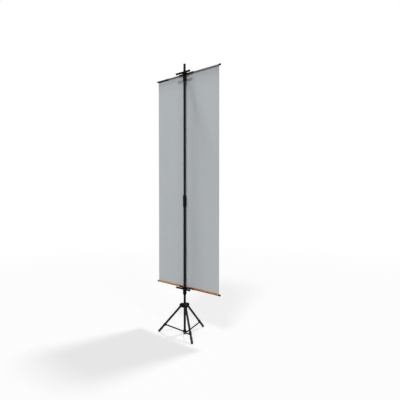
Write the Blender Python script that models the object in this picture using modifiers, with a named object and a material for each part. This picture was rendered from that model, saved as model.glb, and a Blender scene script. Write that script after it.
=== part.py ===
"""Tripod banner stand: a folding three-legged base, a telescopic pole and a cloth banner between two rails.

Metres, +Z up. The origin is on the pole's axis at the floor. X runs along the banner, and +Y points from the
pole to the banner. The near cradles of both brackets are empty, ready for a second banner.
"""

import math

import bmesh
import bpy
from mathutils import Matrix

# Clearances
SEAT_GAP = 0.0003
SLIDE_GAP = 0.0003
JOINT_GAP = 0.0007

# Pole and column tubes
THIN_TUBE_RADIUS = 0.011
POLE_WALL = 0.0012
COLUMN_TOP = 0.680
MAST_TOP = 1.292
POLE_HEIGHT = 2.536
UPPER_TUBE_OVERLAP = 0.132
PLUG_DEPTH = 0.018
PLUG_FLANGE = 0.0035
POLE_CAP_OVERHANG = 0.0004

# Column foot
COLUMN_FOOT_LIP = 0.0015
COLUMN_FOOT_HEIGHT = 0.006
COLUMN_FOOT_EDGE = 0.0025

# Spider, the fixed collar that carries the braces
SPIDER_WALL = 0.0027
SPIDER_EDGE = 0.0025
SPIDER_BOTTOM = 0.0075
SPIDER_HEIGHT = 0.036
SPIDER_PIVOT_REACH = 0.004
SPIDER_PIVOT_HEIGHT = 0.0205
SPIDER_EAR_RADIUS = 0.0066
SPIDER_EAR_THICKNESS = 0.0075

# Hub, the sliding carrier of the legs
HUB_PIVOT_HEIGHT = 0.266
HUB_PIVOT_REACH = 0.0194
HUB_SLEEVE_WALL = 0.0062
HUB_SLEEVE_DROP = 0.0015
HUB_RISE = 0.026
HUB_CHEEK = 0.0062
HUB_LOBE_WALL = 0.004
HUB_SLOT_RELIEF = 0.00625
HUB_SHOULDER_RADIUS = 0.016
HUB_EDGE = 0.0015
HUB_SCREW_AZIMUTH = math.radians(150)
HUB_SCREW_RISE = 0.008
HUB_SCREW_RADIUS = 0.003
HUB_BOSS_RADIUS = 0.007
HUB_BOSS_LENGTH = 0.0065
KNOB_RADIUS = 0.011
KNOB_LOBE = 0.0014
KNOB_LOBES = 5
KNOB_THICKNESS = 0.010
KNOB_EDGE = 0.0012

# Legs
LEG_AZIMUTHS = (math.radians(90), math.radians(210), math.radians(330))
LEG_TUBE_RADIUS = 0.010
LEG_WALL = 0.0012
LEG_SPREAD = 0.2542
TONGUE_THICKNESS = 0.012
TONGUE_INSET = 0.0015
TONGUE_FLANGE = 0.002
TONGUE_PLUG_DEPTH = 0.018
FOOT_WALL = 0.0007
FOOT_LENGTH = 0.045
FOOT_FLAT = 0.0009
FOOT_BEAD = 0.0006
FOOT_BEAD_HEIGHT = 0.003
FOOT_SOLE = 0.006

# Braces and the clips that join them to the legs
CLIP_DISTANCE = 0.251
CLIP_WALL = 0.002
CLIP_HEIGHT = 0.020
CLIP_PIVOT_INSET = 0.007
CLIP_LUG_RADIUS = 0.0085
BRACE_WIDTH = 0.0125
BRACE_THICKNESS = 0.003

# Rivets
RIVET_RADIUS = 0.0023
RIVET_HEAD_RADIUS = 0.0044
RIVET_HEAD_HEIGHT = 0.0018
RIVET_CROWN_RADIUS = 0.0035
RIVET_CROWN_HEIGHT = 0.00144
RIVET_RIM_HEIGHT = 0.00054

# Banner and rails
BANNER_WIDTH = 0.800
BOTTOM_RAIL_HEIGHT = 0.436
TOP_RAIL_DROP = 0.087
RAIL_RADIUS = 0.006
RAIL_WALL = 0.001
RAIL_OVERHANG = 0.0082
FABRIC_THICKNESS = 0.0007
POCKET_THROAT = 0.0025
END_BALL_WALL = 0.0033
END_SKIRT_WALL = 0.0015
END_SKIRT_LENGTH = 0.0036
END_SOCKET_DEPTH = 0.0075

# Brackets
BRACKET_LENGTH = 0.188
CRADLE_WALL = 0.0017
CRADLE_OPENS_AT = math.radians(228)
CRADLE_CLOSES_AT = math.radians(55)
END_CLIP_WALL = 0.0026
END_CLIP_LENGTH = 0.014
SPINE_ROOT_WALL = 0.0017
SPINE_HEIGHT = 0.008
BLOCK_END_WALL = 0.0052
BLOCK_SIDE_WALL = 0.0042
BLOCK_TO_RAIL = 0.011
BLOCK_HEIGHT = 0.017
BLOCK_EDGE = 0.003
SLEEVE_WALL = 0.0024
TOP_SLEEVE_DEPTH = 0.060
BOTTOM_SLEEVE_DEPTH = 0.050
MAST_SEAT_DEPTH = 0.034

# Twist nuts and the split fingers that they close
NUT_WALL = 0.0021
NUT_TOP_DROP = 0.0115
NUT_LIP = 0.011
NUT_TAPER = 0.010
NUT_EDGE = 0.001
FINGER_LENGTH = 0.013
FINGER_TAPER = 0.0012
FINGER_SLOT = 0.0016
FINGER_SLOTS = 4
GRIP_GROOVES = 10
GRIP_RADIUS = 0.0014
GRIP_DEPTH = 0.0006
GRIP_MARGIN = 0.004

# Mast lock, at the mast's upper end
LOCK_BODY_LENGTH = 0.080
LOCK_WALL = 0.0037
LOCK_TAPER = 0.012
LOCK_NECK_HEIGHT = 0.022
LOCK_NUT_LIP = 0.0115

# Mesh
ROUND_STEPS = 28
LEG_STEPS = 20
SMALL_STEPS = 12
ARC_STEPS = 6
RAIL_STEPS = 18
MERGE_DISTANCE = 1e-5
CUT_MARGIN = 0.004
SMOOTH_ANGLE = math.radians(32)

# Sizes that follow from those above
BORE_RADIUS = THIN_TUBE_RADIUS + SLIDE_GAP
MAST_RADIUS = BORE_RADIUS + POLE_WALL
MAST_SEAT_RADIUS = MAST_RADIUS + SEAT_GAP
PLUG_RADIUS = THIN_TUBE_RADIUS - POLE_WALL - SEAT_GAP
PLUG_EDGE = PLUG_FLANGE / 3
TOP_RAIL_HEIGHT = POLE_HEIGHT - TOP_RAIL_DROP
RAIL_SPACING = TOP_RAIL_HEIGHT - BOTTOM_RAIL_HEIGHT
MAST_BOTTOM = BOTTOM_RAIL_HEIGHT - MAST_SEAT_DEPTH
UPPER_TUBE_BOTTOM = MAST_TOP - UPPER_TUBE_OVERLAP
UPPER_TUBE_TOP = POLE_HEIGHT - PLUG_FLANGE - SEAT_GAP
BLOCK_LENGTH = 2 * (MAST_SEAT_RADIUS + BLOCK_END_WALL)
BLOCK_DEPTH = 2 * (MAST_SEAT_RADIUS + BLOCK_SIDE_WALL)
SPINE_INSET = MAST_SEAT_RADIUS + SPINE_ROOT_WALL
RAIL_OFFSET = BLOCK_DEPTH / 2 + BLOCK_TO_RAIL
POCKET_RADIUS = RAIL_RADIUS + SEAT_GAP + FABRIC_THICKNESS
POCKET_NECK = POCKET_RADIUS + POCKET_THROAT
CRADLE_RADIUS = POCKET_RADIUS + SEAT_GAP
END_BALL_RADIUS = RAIL_RADIUS + END_BALL_WALL
RAIL_HALF_LENGTH = BANNER_WIDTH / 2 + RAIL_OVERHANG
COLUMN_FOOT_RADIUS = THIN_TUBE_RADIUS + COLUMN_FOOT_LIP
SPIDER_RADIUS = BORE_RADIUS + SPIDER_WALL
SPIDER_PIVOT_RADIUS = SPIDER_RADIUS + SPIDER_PIVOT_REACH
HUB_SLEEVE_RADIUS = BORE_RADIUS + HUB_SLEEVE_WALL
HUB_PIVOT_RADIUS = HUB_SLEEVE_RADIUS + HUB_PIVOT_REACH
HUB_BOSS_REACH = HUB_SLEEVE_RADIUS + HUB_BOSS_LENGTH
HUB_SLOT_WIDTH = TONGUE_THICKNESS + 2 * SEAT_GAP
HUB_LOBE_WIDTH = HUB_SLOT_WIDTH + 2 * HUB_CHEEK
TONGUE_END_RADIUS = LEG_TUBE_RADIUS - TONGUE_INSET
HUB_LOBE_END_RADIUS = TONGUE_END_RADIUS + HUB_LOBE_WALL
FOOT_BORE_RADIUS = LEG_TUBE_RADIUS + SEAT_GAP
FOOT_RADIUS = FOOT_BORE_RADIUS + FOOT_WALL
FOOT_CENTRE_HEIGHT = FOOT_RADIUS - FOOT_FLAT
LEG_ANGLE = math.atan2(LEG_SPREAD - HUB_PIVOT_RADIUS, HUB_PIVOT_HEIGHT - FOOT_CENTRE_HEIGHT)
LEG_LENGTH = (HUB_PIVOT_HEIGHT - FOOT_CENTRE_HEIGHT) / math.cos(LEG_ANGLE)
LEG_TUBE_START = HUB_LOBE_END_RADIUS + JOINT_GAP + TONGUE_FLANGE + SEAT_GAP
LEG_TUBE_END = LEG_LENGTH - FOOT_SOLE
CLIP_RADIUS = LEG_TUBE_RADIUS + SEAT_GAP + CLIP_WALL
BRACE_INNER_FACE = CLIP_RADIUS + SEAT_GAP
BRACE_OUTER_FACE = BRACE_INNER_FACE + BRACE_THICKNESS
CLIP_PIVOT_RADIUS = (
    HUB_PIVOT_RADIUS + CLIP_DISTANCE * math.sin(LEG_ANGLE) - CLIP_PIVOT_INSET * math.cos(LEG_ANGLE)
)
CLIP_PIVOT_HEIGHT = (
    HUB_PIVOT_HEIGHT - CLIP_DISTANCE * math.cos(LEG_ANGLE) - CLIP_PIVOT_INSET * math.sin(LEG_ANGLE)
)
BRACE_RUN = CLIP_PIVOT_RADIUS - SPIDER_PIVOT_RADIUS
BRACE_RISE = CLIP_PIVOT_HEIGHT - SPIDER_PIVOT_HEIGHT
BRACE_LENGTH = math.hypot(BRACE_RUN, BRACE_RISE)
BRACE_SLOPE = math.atan2(BRACE_RISE, BRACE_RUN)
RIVET_HOLE_RADIUS = RIVET_RADIUS + SEAT_GAP
LOCK_BODY_TOP = MAST_TOP - LOCK_NECK_HEIGHT + FINGER_LENGTH
LOCK_BODY_RADIUS = MAST_SEAT_RADIUS + LOCK_WALL

# Frames: one stands an outline drawn in XY upright in XZ, the other lays a turned piece along X
UPRIGHT = Matrix.Rotation(math.pi / 2, 4, "X")
ALONG_X = Matrix.Rotation(math.pi / 2, 4, "Y")


def clear_scene():
    for obj in list(bpy.data.objects):
        bpy.data.objects.remove(obj)


def new_collection(name):
    collection = bpy.data.collections.new(name)
    bpy.context.scene.collection.children.link(collection)
    return collection


def new_material(name, colour, roughness, metallic=0.0):
    material = bpy.data.materials.new(name)
    material.use_nodes = True
    shader = material.node_tree.nodes["Principled BSDF"]
    shader.inputs["Base Color"].default_value = (*colour, 1.0)
    shader.inputs["Roughness"].default_value = roughness
    shader.inputs["Metallic"].default_value = metallic
    return material


def shift(x=0.0, y=0.0, z=0.0):
    return Matrix.Translation((x, y, z))


def turned(name, profile, steps=ROUND_STEPS, ring=False):
    """Solid of revolution about Z. The profile runs down outside, and a ring's comes back up inside."""
    mesh = bpy.data.meshes.new(name)
    count = len(profile)
    edges = [(i, i + 1) for i in range(count - 1)]
    if ring:
        edges.append((count - 1, 0))
    mesh.from_pydata([(radius, 0.0, height) for radius, height in profile], edges, [])
    obj = bpy.data.objects.new(name, mesh)
    screw = obj.modifiers.new("turn", "SCREW")
    screw.steps = steps
    screw.render_steps = steps
    screw.use_merge_vertices = True
    screw.merge_threshold = MERGE_DISTANCE
    return obj


def tube(name, radius, wall, top, bottom, steps=ROUND_STEPS):
    profile = [(radius, top), (radius, bottom), (radius - wall, bottom), (radius - wall, top)]
    return turned(name, profile, steps, ring=True)


def rod(name, radius, top, bottom, steps=ROUND_STEPS):
    return turned(name, [(0.0, top), (radius, top), (radius, bottom), (0.0, bottom)], steps)


def arc(radius, start, end, steps=ARC_STEPS, centre=(0.0, 0.0)):
    """Points on an arc from one angle to another, both ends included."""
    turns = [start + (end - start) * i / steps for i in range(steps + 1)]
    return [(centre[0] + radius * math.cos(a), centre[1] + radius * math.sin(a)) for a in turns]


def circle(radius, steps=SMALL_STEPS, centre=(0.0, 0.0)):
    return arc(radius, 0.0, 2 * math.pi, steps, centre)[:-1]


def outline(name, loops, thickness):
    """Flat piece: the first loop is its edge and the others are holes, extruded half each way along Z."""
    curve = bpy.data.curves.new(name, "CURVE")
    curve.dimensions = "2D"
    curve.fill_mode = "BOTH"
    curve.extrude = thickness / 2
    for loop in loops:
        spline = curve.splines.new("POLY")
        spline.points.add(len(loop) - 1)
        for point, (x, y) in zip(spline.points, loop):
            point.co = (x, y, 0.0, 1.0)
        spline.use_cyclic_u = True
    return bpy.data.objects.new(name, curve)


def as_mesh(curve_object):
    """The curve's solid as a mesh with its caps welded, which a Boolean or a Bevel can use."""
    name = curve_object.name
    scene = bpy.context.scene.collection
    scene.objects.link(curve_object)
    graph = bpy.context.evaluated_depsgraph_get()
    mesh = bpy.data.meshes.new_from_object(curve_object.evaluated_get(graph))
    welded = bmesh.new()
    welded.from_mesh(mesh)
    bmesh.ops.remove_doubles(welded, verts=welded.verts, dist=MERGE_DISTANCE)
    welded.to_mesh(mesh)
    welded.free()
    bpy.data.objects.remove(curve_object)
    return bpy.data.objects.new(name, mesh)


def box(name, length, depth, height):
    mesh = bpy.data.meshes.new(name)
    made = bmesh.new()
    bmesh.ops.create_cube(made, size=1.0, matrix=Matrix.Diagonal((length, depth, height, 1.0)))
    made.to_mesh(mesh)
    made.free()
    return bpy.data.objects.new(name, mesh)


def rounded(obj, width, segments=2):
    bevel = obj.modifiers.new("edges", "BEVEL")
    bevel.width = width
    bevel.segments = segments
    bevel.limit_method = "ANGLE"
    bevel.angle_limit = SMOOTH_ANGLE
    return obj


def empty(name, carrier, matrix):
    made = bpy.data.objects.new(name, None)
    stand.objects.link(made)
    made.parent = carrier
    made.matrix_basis = matrix
    return made


def put(obj, carrier, material, local=None):
    """Adds a piece to the stand, placed in the frame of the empty that carries it."""
    stand.objects.link(obj)
    obj.parent = carrier
    obj.matrix_basis = local or Matrix()
    obj.data.materials.append(material)
    return obj


def tool(obj, carrier, local=None):
    """Adds a shape that another piece is cut from or joined with."""
    cutters.objects.link(obj)
    obj.parent = carrier
    obj.matrix_basis = local or Matrix()
    obj.hide_render = True
    obj.display_type = "WIRE"
    return obj


def boolean(obj, other, operation):
    modifier = obj.modifiers.new(operation.lower(), "BOOLEAN")
    modifier.operation = operation
    modifier.object = other


def join(obj, other):
    boolean(obj, other, "UNION")


def cut(obj, other):
    boolean(obj, other, "DIFFERENCE")


def leg_frame(azimuth):
    """X points outwards from the pole along the leg's plane, and Y is square to that plane."""
    return Matrix.Rotation(azimuth, 4, "Z")


def plug(name, radius, flange_radius, flange_height, depth):
    """Tube plug standing on Z = 0, where its flange begins: the flange is above and the spigot below."""
    profile = [
        (0.0, flange_height),
        (flange_radius - PLUG_EDGE, flange_height),
        (flange_radius, flange_height - PLUG_EDGE),
        (flange_radius, 0.0),
        (radius, 0.0),
        (radius, -depth),
        (0.0, -depth),
    ]
    return turned(name, profile)


def rivet(name, carrier, material, local, grip_top, grip_bottom, two_heads):
    """Rivet along Z with a domed head above grip_top, and another below grip_bottom where it has two."""
    top = grip_top + SEAT_GAP
    profile = [
        (0.0, top + RIVET_HEAD_HEIGHT),
        (RIVET_CROWN_RADIUS, top + RIVET_CROWN_HEIGHT),
        (RIVET_HEAD_RADIUS, top + RIVET_RIM_HEIGHT),
        (RIVET_HEAD_RADIUS, top),
        (RIVET_RADIUS, top),
    ]
    if two_heads:
        profile += [(radius, grip_top + grip_bottom - height) for radius, height in reversed(profile)]
    else:
        profile += [(RIVET_RADIUS, grip_bottom), (0.0, grip_bottom)]
    return put(turned(name, profile, SMALL_STEPS), carrier, material, local)


def finger_slots(carrier, height, radius, length):
    """Cutter for the slots between the split fingers of a sleeve, centred at the given height."""
    mesh = bpy.data.meshes.new("finger_slots")
    made = bmesh.new()
    size = Matrix.Diagonal((radius, FINGER_SLOT, length, 1.0))
    for index in range(FINGER_SLOTS):
        turn = Matrix.Rotation(2 * math.pi * (index + 0.5) / FINGER_SLOTS, 4, "Z")
        bmesh.ops.create_cube(made, size=1.0, matrix=turn @ shift(radius, 0.0, height) @ size)
    made.to_mesh(mesh)
    made.free()
    return tool(bpy.data.objects.new("finger_slots", mesh), carrier)


def grip_grooves(carrier, radius, top, bottom):
    """Cutter for the grip grooves round a nut."""
    mesh = bpy.data.meshes.new("grip_grooves")
    made = bmesh.new()
    middle = (top + bottom) / 2
    reach = radius + GRIP_RADIUS - GRIP_DEPTH
    for index in range(GRIP_GROOVES):
        turn = Matrix.Rotation(2 * math.pi * index / GRIP_GROOVES, 4, "Z")
        bmesh.ops.create_cone(
            made,
            cap_ends=True,
            segments=ARC_STEPS,
            radius1=GRIP_RADIUS,
            radius2=GRIP_RADIUS,
            depth=top - bottom,
            matrix=turn @ shift(reach, 0.0, middle),
        )
    made.to_mesh(mesh)
    made.free()
    return tool(bpy.data.objects.new("grip_grooves", mesh), carrier)


def make_column(carrier):
    tube_bottom = COLUMN_FOOT_HEIGHT + SEAT_GAP
    put(tube("column_tube", THIN_TUBE_RADIUS, POLE_WALL, COLUMN_TOP, tube_bottom), carrier, tube_paint)
    foot = turned(
        "column_foot",
        [
            (0.0, COLUMN_FOOT_HEIGHT + PLUG_DEPTH),
            (PLUG_RADIUS, COLUMN_FOOT_HEIGHT + PLUG_DEPTH),
            (PLUG_RADIUS, COLUMN_FOOT_HEIGHT),
            (COLUMN_FOOT_RADIUS, COLUMN_FOOT_HEIGHT),
            (COLUMN_FOOT_RADIUS, COLUMN_FOOT_EDGE),
            (COLUMN_FOOT_RADIUS - COLUMN_FOOT_EDGE, 0.0),
            (0.0, 0.0),
        ],
    )
    put(foot, carrier, rubber)
    guide = plug("column_guide", PLUG_RADIUS, THIN_TUBE_RADIUS, PLUG_FLANGE, PLUG_DEPTH)
    put(guide, carrier, plastic, shift(z=COLUMN_TOP + SEAT_GAP))


def spider_ear():
    """Ear of one brace in the leg's plane, from the spider's sleeve out and round the pivot."""
    bottom = SPIDER_PIVOT_HEIGHT - SPIDER_EAR_RADIUS
    top = SPIDER_PIVOT_HEIGHT + SPIDER_EAR_RADIUS
    pivot = (SPIDER_PIVOT_RADIUS, SPIDER_PIVOT_HEIGHT)
    root = SPIDER_RADIUS / 2
    edge = [(root, bottom)] + arc(SPIDER_EAR_RADIUS, -math.pi / 2, math.pi / 2, ARC_STEPS, pivot)
    edge += [(root, top + SPIDER_EAR_RADIUS)]
    return as_mesh(outline("spider_ear", [edge], SPIDER_EAR_THICKNESS))


def make_spider(carrier):
    top = SPIDER_BOTTOM + SPIDER_HEIGHT
    spider = turned(
        "spider",
        [
            (SPIDER_RADIUS - SPIDER_EDGE, top),
            (SPIDER_RADIUS, top - SPIDER_EDGE),
            (SPIDER_RADIUS, SPIDER_BOTTOM),
            (BORE_RADIUS, SPIDER_BOTTOM),
            (BORE_RADIUS, top),
        ],
        ring=True,
    )
    put(spider, carrier, plastic)
    ear_middle = BRACE_INNER_FACE - SEAT_GAP - SPIDER_EAR_THICKNESS / 2
    for azimuth in LEG_AZIMUTHS:
        join(spider, tool(spider_ear(), carrier, leg_frame(azimuth) @ shift(y=-ear_middle) @ UPRIGHT))
    cut(spider, tool(rod("spider_bore", BORE_RADIUS, top + CUT_MARGIN, 0.0), carrier))
    for number, azimuth in enumerate(LEG_AZIMUTHS, 1):
        pivot = leg_frame(azimuth) @ shift(SPIDER_PIVOT_RADIUS, 0.0, SPIDER_PIVOT_HEIGHT) @ UPRIGHT
        hole_bottom = ear_middle - SPIDER_EAR_THICKNESS / 2
        hole = rod("rivet_hole", RIVET_HOLE_RADIUS, BRACE_OUTER_FACE, hole_bottom - SEAT_GAP, SMALL_STEPS)
        cut(spider, tool(hole, carrier, pivot))
        name = f"spider_rivet_{number}"
        rivet(name, carrier, rivet_steel, pivot, BRACE_OUTER_FACE, hole_bottom, False)


def hub_lobe():
    """One of the hub's three lobes in its leg's plane: flat top, rounded shoulder, round end at the pivot."""
    top = HUB_PIVOT_HEIGHT + HUB_RISE
    outer = HUB_PIVOT_RADIUS + HUB_LOBE_END_RADIUS
    bottom = HUB_PIVOT_HEIGHT - HUB_LOBE_END_RADIUS
    shoulder = (outer - HUB_SHOULDER_RADIUS, top - HUB_SHOULDER_RADIUS)
    pivot = (HUB_PIVOT_RADIUS, HUB_PIVOT_HEIGHT)
    root = HUB_SLEEVE_RADIUS / 2
    edge = [(root, bottom)]
    edge += arc(HUB_LOBE_END_RADIUS, -math.pi / 2, 0.0, ARC_STEPS, pivot)
    edge += arc(HUB_SHOULDER_RADIUS, 0.0, math.pi / 2, ARC_STEPS, shoulder)
    edge += [(root, top)]
    return rounded(as_mesh(outline("hub_lobe", [edge], HUB_LOBE_WIDTH)), HUB_EDGE, 1)


def make_hub(carrier):
    top = HUB_PIVOT_HEIGHT + HUB_RISE
    bottom = HUB_PIVOT_HEIGHT - HUB_LOBE_END_RADIUS - HUB_SLEEVE_DROP
    screw_height = HUB_PIVOT_HEIGHT + HUB_SCREW_RISE
    hub = rod("hub", HUB_SLEEVE_RADIUS, top - HUB_EDGE, bottom)
    put(hub, carrier, plastic)
    for azimuth in LEG_AZIMUTHS:
        join(hub, tool(hub_lobe(), carrier, leg_frame(azimuth) @ UPRIGHT))
    along_screw = leg_frame(HUB_SCREW_AZIMUTH) @ shift(z=screw_height) @ ALONG_X
    boss = rod("hub_boss", HUB_BOSS_RADIUS, HUB_BOSS_REACH, HUB_SLEEVE_RADIUS / 2)
    join(hub, tool(boss, carrier, along_screw))
    cut(hub, tool(rod("hub_bore", BORE_RADIUS, top + CUT_MARGIN, bottom - CUT_MARGIN), carrier))
    slot_inner = HUB_PIVOT_RADIUS - TONGUE_END_RADIUS - HUB_SLOT_RELIEF
    slot_outer = HUB_PIVOT_RADIUS + 2 * HUB_LOBE_END_RADIUS
    slot_top = HUB_PIVOT_HEIGHT + TONGUE_END_RADIUS + JOINT_GAP
    slot_bottom = bottom - CUT_MARGIN
    for number, azimuth in enumerate(LEG_AZIMUTHS, 1):
        slot = box("hub_slot", slot_outer - slot_inner, HUB_SLOT_WIDTH, slot_top - slot_bottom)
        middle = shift((slot_outer + slot_inner) / 2, 0.0, (slot_top + slot_bottom) / 2)
        cut(hub, tool(slot, carrier, leg_frame(azimuth) @ middle))
        pivot = leg_frame(azimuth) @ shift(HUB_PIVOT_RADIUS, 0.0, HUB_PIVOT_HEIGHT) @ UPRIGHT
        hole = rod("rivet_hole", RIVET_HOLE_RADIUS, HUB_LOBE_WIDTH, -HUB_LOBE_WIDTH, SMALL_STEPS)
        cut(hub, tool(hole, carrier, pivot))
        side = HUB_LOBE_WIDTH / 2
        rivet(f"hub_rivet_{number}", carrier, rivet_steel, pivot, side, -side, True)
    thread = rod("screw_hole", HUB_SCREW_RADIUS + SEAT_GAP, HUB_BOSS_REACH + CUT_MARGIN, 0.0, SMALL_STEPS)
    cut(hub, tool(thread, carrier, along_screw))


def make_hub_screw(carrier):
    """Clamp screw of the hub with a lobed knob, outwards along Z from the pole's axis."""
    screw_end = THIN_TUBE_RADIUS + SEAT_GAP
    knob_start = HUB_BOSS_REACH + SEAT_GAP
    turns = [2 * math.pi * i / (KNOB_LOBES * ARC_STEPS) for i in range(KNOB_LOBES * ARC_STEPS)]
    radii = [KNOB_RADIUS - KNOB_LOBE * (1 - math.cos(KNOB_LOBES * a)) / 2 for a in turns]
    edge = [(r * math.cos(a), r * math.sin(a)) for r, a in zip(radii, turns)]
    knob = rounded(as_mesh(outline("hub_screw", [edge], KNOB_THICKNESS)), KNOB_EDGE, 1)
    put(knob, carrier, plastic, shift(z=knob_start + KNOB_THICKNESS / 2))
    shank = rod("screw_shank", HUB_SCREW_RADIUS, knob_start + KNOB_THICKNESS / 2, screw_end, SMALL_STEPS)
    join(knob, tool(shank, carrier))


def leg_tongue(name, length):
    """Flat tongue of a leg's moulded end, round its pivot and down by that length."""
    edge = arc(TONGUE_END_RADIUS, 0.0, math.pi)
    edge += [(-TONGUE_END_RADIUS, -length), (TONGUE_END_RADIUS, -length)]
    return as_mesh(outline(name, [edge, circle(RIVET_HOLE_RADIUS)], TONGUE_THICKNESS))


def leg_foot():
    """Profile of the rubber foot: its seat on the tube's end, its bore, its beaded rim and its round end."""
    rim = LEG_LENGTH - FOOT_LENGTH
    bead = FOOT_RADIUS + FOOT_BEAD
    seat = -LEG_TUBE_END - SEAT_GAP
    profile = [
        (0.0, seat),
        (FOOT_BORE_RADIUS, seat),
        (FOOT_BORE_RADIUS, -rim),
        (bead, -rim),
        (bead, -rim - FOOT_BEAD_HEIGHT),
        (FOOT_RADIUS, -rim - FOOT_BEAD_HEIGHT - FOOT_BEAD),
    ]
    return profile + arc(FOOT_RADIUS, 0.0, -math.pi / 2, ARC_STEPS, (0.0, -LEG_LENGTH))


def make_leg(number, carrier):
    """Leg along -Z from its pivot at the origin, its brace on the -Y side. The moulded end's flange and stem
    close the tube."""
    name = f"leg_tube_{number}"
    leg_tube = tube(name, LEG_TUBE_RADIUS, LEG_WALL, -LEG_TUBE_START, -LEG_TUBE_END, LEG_STEPS)
    put(leg_tube, carrier, tube_paint)
    flange_top = LEG_TUBE_START - SEAT_GAP - TONGUE_FLANGE
    flange_bottom = flange_top + TONGUE_FLANGE
    tongue = leg_tongue(f"leg_tongue_{number}", (flange_top + flange_bottom) / 2)
    put(tongue, carrier, plastic, UPRIGHT)
    plug_radius = LEG_TUBE_RADIUS - LEG_WALL - SEAT_GAP
    stem = turned(
        "tongue_stem",
        [
            (0.0, -flange_top),
            (LEG_TUBE_RADIUS, -flange_top),
            (LEG_TUBE_RADIUS, -flange_bottom),
            (plug_radius, -flange_bottom),
            (plug_radius, -flange_bottom - TONGUE_PLUG_DEPTH),
            (0.0, -flange_bottom - TONGUE_PLUG_DEPTH),
        ],
        LEG_STEPS,
    )
    join(tongue, tool(stem, carrier))
    return put(turned(f"leg_foot_{number}", leg_foot(), LEG_STEPS), carrier, rubber)


def make_clip(number, carrier):
    """Collar round a leg with the lug that its brace lies against."""
    top = -CLIP_DISTANCE + CLIP_HEIGHT / 2
    bottom = -CLIP_DISTANCE - CLIP_HEIGHT / 2
    clip = rod(f"leg_clip_{number}", CLIP_RADIUS, top, bottom, LEG_STEPS)
    put(clip, carrier, plastic)
    lug = rod("clip_lug", CLIP_LUG_RADIUS, BRACE_INNER_FACE - SEAT_GAP, 0.0, SMALL_STEPS)
    join(clip, tool(lug, carrier, shift(-CLIP_PIVOT_INSET, 0.0, -CLIP_DISTANCE) @ UPRIGHT))
    bore_radius = LEG_TUBE_RADIUS + SEAT_GAP
    cut(clip, tool(rod("clip_bore", bore_radius, top + CUT_MARGIN, bottom - CUT_MARGIN, LEG_STEPS), carrier))


def make_brace(number, carrier):
    """Flat brace from its spider pivot, at the origin, out along X to the leg's clip."""
    middle = (BRACE_INNER_FACE + BRACE_OUTER_FACE) / 2
    end_radius = BRACE_WIDTH / 2
    edge = arc(end_radius, math.pi / 2, 3 * math.pi / 2)
    edge += arc(end_radius, -math.pi / 2, math.pi / 2, ARC_STEPS, (BRACE_LENGTH, 0.0))
    holes = [circle(RIVET_HOLE_RADIUS), circle(RIVET_HOLE_RADIUS, SMALL_STEPS, (BRACE_LENGTH, 0.0))]
    brace = outline(f"brace_{number}", [edge] + holes, BRACE_THICKNESS)
    put(brace, carrier, tube_paint, shift(y=-middle) @ UPRIGHT)
    leg_end = shift(BRACE_LENGTH) @ UPRIGHT
    rivet(f"brace_rivet_{number}", carrier, rivet_steel, leg_end, BRACE_OUTER_FACE, BRACE_INNER_FACE, False)


def make_tripod(column, carriage):
    floor_size = 2 * FOOT_RADIUS
    for number, azimuth in enumerate(LEG_AZIMUTHS, 1):
        pivot = leg_frame(azimuth) @ shift(HUB_PIVOT_RADIUS, 0.0, HUB_PIVOT_HEIGHT)
        leg = empty(f"leg_{number}", carriage, pivot @ Matrix.Rotation(-LEG_ANGLE, 4, "Y"))
        foot = make_leg(number, leg)
        make_clip(number, leg)
        floor = box("floor_cutter", 2 * floor_size, 2 * floor_size, floor_size)
        cut(foot, tool(floor, column, leg_frame(azimuth) @ shift(LEG_SPREAD, 0.0, -floor_size / 2)))
        hinge = leg_frame(azimuth) @ shift(SPIDER_PIVOT_RADIUS, 0.0, SPIDER_PIVOT_HEIGHT)
        brace = empty(f"brace_arm_{number}", column, hinge @ Matrix.Rotation(-BRACE_SLOPE, 4, "Y"))
        make_brace(number, brace)


def cradle_side(side, up):
    """Frame of one rail of a bracket: X outwards from the pole, Y away from the banner, Z along the rail."""
    turn = Matrix(((0.0, 0.0, side * up), (side, 0.0, 0.0), (0.0, up, 0.0))).to_4x4()
    return shift(y=side * RAIL_OFFSET) @ turn


def cradle_bar():
    """Bar round one rail before its groove is cut, with a spine towards the pole."""
    radius = CRADLE_RADIUS + CRADLE_WALL
    spine = math.asin(SPINE_HEIGHT / 2 / radius)
    root = SPINE_INSET - RAIL_OFFSET
    edge = [(root, -SPINE_HEIGHT / 2)]
    edge += arc(radius, math.pi + spine, 3 * math.pi - spine, RAIL_STEPS)
    edge += [(root, SPINE_HEIGHT / 2)]
    return as_mesh(outline("cradle_bar", [edge], BRACKET_LENGTH - END_CLIP_LENGTH))


def cradle_groove():
    """Cutter of the rail's groove and of the mouth that the banner leaves by."""
    reach = CRADLE_RADIUS + CRADLE_WALL + END_CLIP_WALL + CUT_MARGIN
    edge = arc(CRADLE_RADIUS, CRADLE_CLOSES_AT, CRADLE_OPENS_AT, SMALL_STEPS)
    edge += arc(reach, CRADLE_OPENS_AT, CRADLE_CLOSES_AT + 2 * math.pi, SMALL_STEPS)
    return as_mesh(outline("cradle_groove", [edge], BRACKET_LENGTH + 2 * CUT_MARGIN))


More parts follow.
